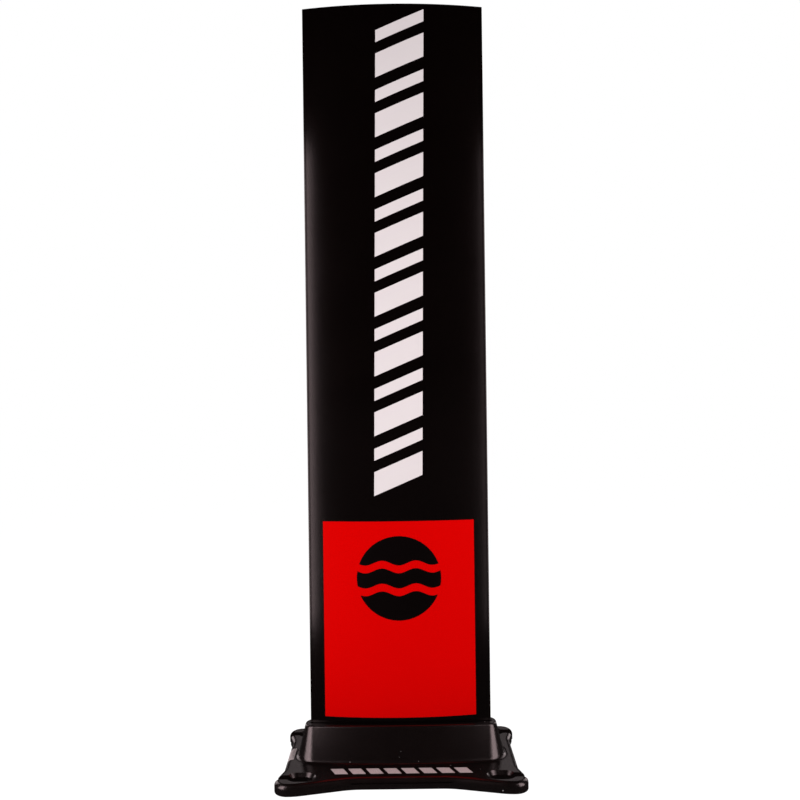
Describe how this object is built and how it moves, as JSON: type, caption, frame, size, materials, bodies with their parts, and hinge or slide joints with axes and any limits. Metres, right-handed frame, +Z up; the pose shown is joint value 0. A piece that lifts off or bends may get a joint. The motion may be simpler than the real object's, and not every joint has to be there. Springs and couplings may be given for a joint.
{
  "type": "hydrofoil mast with board plate",
  "caption": "Straight lens-section hydrofoil mast standing in the socket of a cast plate with a slotted ear at each corner.",
  "frame": {"origin": "middle of the plate's underside, the face that meets the board", "axes": "+Z up the mast away from the board, +X along the chord, -Y the front face"},
  "size_m": [0.199, 0.121, 0.6342],
  "materials": {
    "cast_plate": "black satin coating, fine cast grain",
    "mast_metal": "black anodised, satin, very fine grain",
    "block_metal": "milled",
    "steel": "stainless, turned",
    "rubber": "matt",
    "foam": "closed-cell foam",
    "red_film": "satin vinyl film",
    "white_film": "satin vinyl film",
    "black_film": "satin vinyl film",
    "white_ink": "printed ink"
  },
  "bodies": {
    "root": {"base_plate": "cast_plate", "socket_seal": "rubber", "mast_profile": "mast_metal", "root_block": "block_metal", "root_thread_bushes": "steel", "root_screws": "steel", "root_nose_plug": "foam", "root_tail_plug": "foam", "tip_block": "block_metal", "tip_thread_bushes": "steel", "tip_nose_plug": "foam", "tip_tail_plug": "foam", "front_panel_film": "red_film", "back_panel_film": "red_film", "front_emblem_film": "black_film", "back_emblem_film": "black_film", "front_stripe_film": "white_film", "back_stripe_film": "white_film", "plate_front_marks": "white_ink", "plate_side_marks": "white_ink"}
  },
  "joints": []
}
